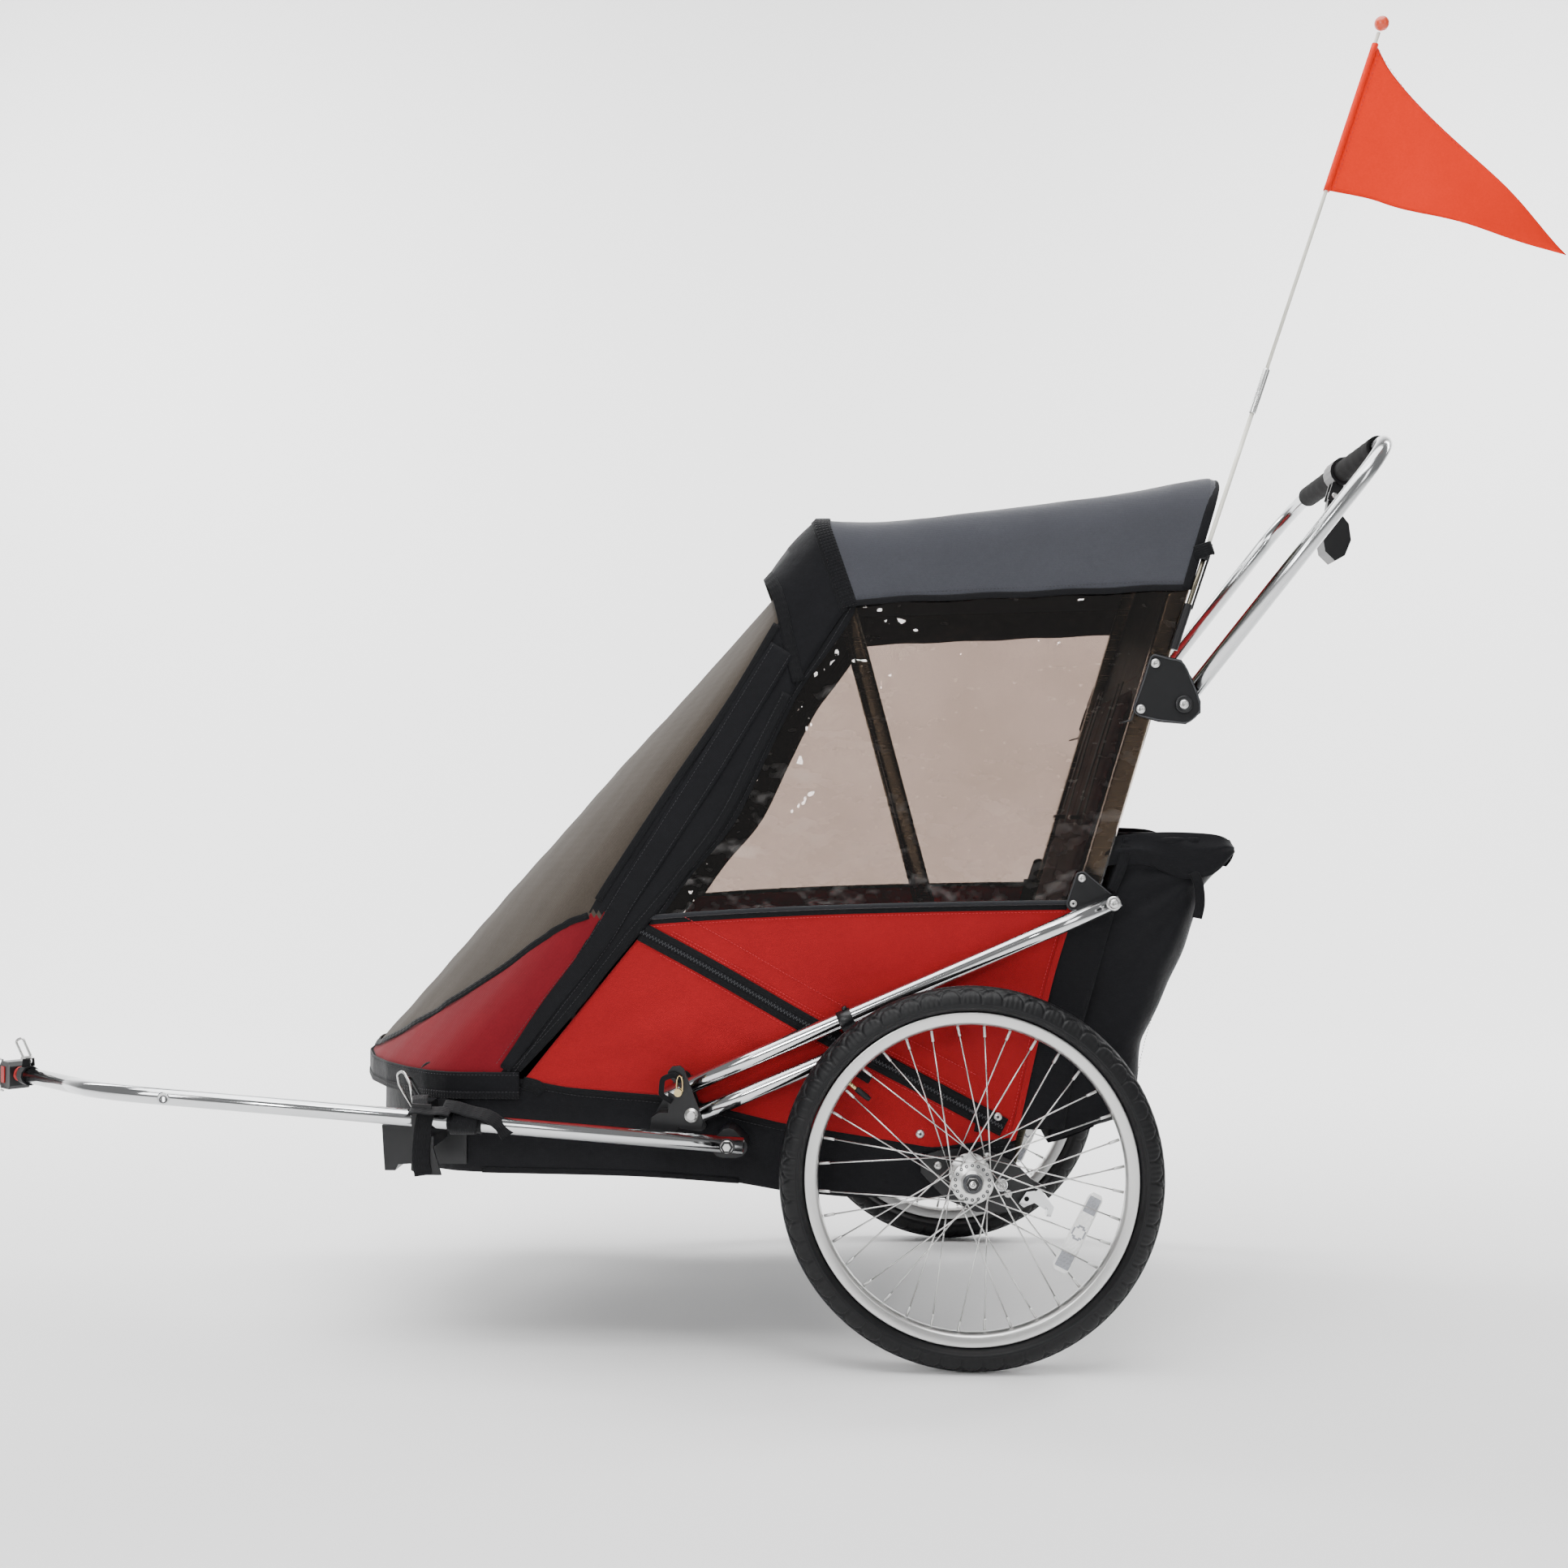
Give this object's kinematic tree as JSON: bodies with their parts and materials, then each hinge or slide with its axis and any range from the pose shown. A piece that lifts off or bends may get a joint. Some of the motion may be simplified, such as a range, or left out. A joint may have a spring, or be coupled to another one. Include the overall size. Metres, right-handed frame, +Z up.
{
  "type": "child bicycle trailer",
  "caption": "Child bicycle trailer with folding tube cabin, fabric canopy and windows, spoked wheels, side tow bar with hitch, push handle and safety flag.",
  "frame": {"origin": "bottom centre of the bounding box, on the ground", "axes": "+Z up, -X the direction of travel, -Y the left side, which carries the tow bar and the flag"},
  "size_m": [2.1696, 0.837, 1.7435],
  "materials": {
    "tube_alloy": "polished",
    "tow_steel": "polished",
    "tow_chrome": "polished",
    "rim_alloy": "satin",
    "spoke_steel": "bright",
    "tyre_rubber": "matte",
    "black_plastic": "moulded",
    "black_metal": "satin black",
    "black_nylon": "woven",
    "red_fabric": "woven",
    "canopy_fabric": "woven, coated",
    "mesh_fabric": "net",
    "vinyl": "clear, smoky",
    "clear_plastic": "prismatic",
    "foam_grip": "foam",
    "brass_pin": "plated",
    "pole_fibre": "satin",
    "flag_orange": "matte",
    "flag_fabric": "thin, coated",
    "red_rubber": "satin"
  },
  "bodies": {
    "wheel_left": {"tyre_left": "tyre_rubber", "rim_left": "rim_alloy", "spokes_left": "spoke_steel", "hub_left": "rim_alloy", "wheel_reflector_left": "clear_plastic"},
    "wheel_right": {"tyre_right": "tyre_rubber", "rim_right": "rim_alloy", "spokes_right": "spoke_steel", "hub_right": "rim_alloy", "wheel_reflector_right": "clear_plastic"},
    "root": {"base_frame": "tube_alloy", "axle_plate_left": "black_metal", "axle_plate_right": "black_metal", "tub_pan": "black_nylon", "side_panel_left": "red_fabric", "side_panel_right": "red_fabric", "window_left": "vinyl", "window_right": "vinyl", "lower_strut_left": "tube_alloy", "lower_strut_right": "tube_alloy", "strut_bracket_left": "black_plastic", "strut_bracket_right": "black_plastic", "seat_pad": "red_fabric", "front_cover": "mesh_fabric", "tow_pivot_mount": "black_plastic", "tow_bar_cradle": "black_plastic", "corner_block_left": "black_plastic", "corner_block_right": "black_plastic"},
    "front_hoop": {"front_hoop": "tube_alloy", "canopy": "canopy_fabric", "hood_panel": "black_nylon"},
    "back_frame": {"rear_hoop": "tube_alloy", "back_panel": "black_nylon", "seat_back": "red_fabric", "cargo_bag": "black_nylon", "handle_plate_left": "black_plastic", "handle_plate_right": "black_plastic", "strut_plate_left": "black_plastic", "strut_plate_right": "black_plastic", "flag_socket": "black_plastic"},
    "strut_left": {"upper_strut_left": "tube_alloy"},
    "strut_right": {"upper_strut_right": "tube_alloy"},
    "lock_pin_left": {"lock_pin_left": "brass_pin"},
    "lock_pin_right": {"lock_pin_right": "brass_pin"},
    "flag_pole": {"flag_pole": "pole_fibre", "flag_ball": "flag_orange", "flag": "flag_fabric"},
    "handle": {"handlebar": "tube_alloy", "grip_sleeve": "foam_grip", "lever_clamp": "black_plastic"},
    "hand_lever": {"hand_lever": "black_plastic"},
    "tow_bar": {"tow_bar": "tow_steel", "tow_strap": "black_nylon", "safety_strap": "black_nylon"},
    "hitch": {"hitch_body": "black_plastic", "hitch_elastomer": "red_rubber", "hitch_ring": "tow_chrome"},
    "snap_hook": {"snap_hook": "tow_chrome"},
    "brake_pedal": {"brake_pedal": "tube_alloy"}
  },
  "joints": [
    {"name": "fold", "type": "hinge", "parent": "root", "child": "front_hoop", "pos_m": [0.35475, 0, 0.226], "axis": [0, -1, 0], "range_deg": [0, 63.8], "deforming": ["window_left", "window_right", "front_cover", "canopy", "hood_panel"]},
    {"name": "back_fold", "type": "hinge", "parent": "front_hoop", "child": "back_frame", "pos_m": [0.35475, 0, 0.226], "axis": [0, -1, 0], "range_deg": [0, 23]},
    {"name": "strut_left_swing", "type": "hinge", "parent": "back_frame", "child": "strut_left", "pos_m": [0.49775, -0.33, 0.5925], "axis": [0, -1, 0], "range_deg": [-112.4, 0]},
    {"name": "lock_pin_left_pull", "type": "slide", "parent": "strut_left", "child": "lock_pin_left", "axis": [0, -1, 0], "range_m": [0, 0.03]},
    {"name": "wheel_left_spin", "type": "hinge", "parent": "root", "child": "wheel_left", "pos_m": [0.31275, -0.375, 0.245], "axis": [0, 1, 0], "continuous": true},
    {"name": "strut_right_swing", "type": "hinge", "parent": "back_frame", "child": "strut_right", "pos_m": [0.49775, 0.33, 0.5925], "axis": [0, -1, 0], "range_deg": [-112.4, 0]},
    {"name": "lock_pin_right_pull", "type": "slide", "parent": "strut_right", "child": "lock_pin_right", "axis": [0, 1, 0], "range_m": [0, 0.03]},
    {"name": "wheel_right_spin", "type": "hinge", "parent": "root", "child": "wheel_right", "pos_m": [0.31275, 0.375, 0.245], "axis": [0, 1, 0], "continuous": true},
    {"name": "handle_tilt", "type": "hinge", "parent": "back_frame", "child": "handle", "pos_m": [0.59175, 0, 0.85], "axis": [0, -1, 0], "range_deg": [-75, 20]},
    {"name": "hand_lever_pull", "type": "hinge", "parent": "handle", "child": "hand_lever", "pos_m": [0.86075, 0, 1.171], "axis": [0, -1, 0], "range_deg": [0, 22], "stiffness_Nm_per_rad": 0.6},
    {"name": "flag_slide", "type": "slide", "parent": "back_frame", "child": "flag_pole", "axis": [0.3157, 0, 0.9489], "range_m": [0, 0.25]},
    {"name": "tow_bar_lift", "type": "hinge", "parent": "root", "child": "tow_bar", "pos_m": [0.00275, -0.375, 0.285], "axis": [0, 1, 0], "range_deg": [0, 80]},
    {"name": "hitch_turn", "type": "hinge", "parent": "tow_bar", "child": "hitch", "pos_m": [-1.05325, -0.104, 0.331], "axis": [0, 0, 1], "range_deg": [-40, 40]},
    {"name": "snap_hook_swing", "type": "hinge", "parent": "tow_bar", "child": "snap_hook", "pos_m": [-1.01624, -0.14064, 0.35401], "axis": [0, -1, 0], "range_deg": [-25, 25]},
    {"name": "brake_pedal_press", "type": "hinge", "parent": "root", "child": "brake_pedal", "pos_m": [0.38675, -0.325, 0.21], "axis": [0, -1, 0], "range_deg": [-20, 0]}
  ],
  "couplings": [
    {"joint": "back_fold", "follows": "fold", "ratio": 0.3605},
    {"joint": "strut_left_swing", "follows": "fold", "ratio": -1.7617},
    {"joint": "strut_right_swing", "follows": "fold", "ratio": -1.7617}
  ]
}
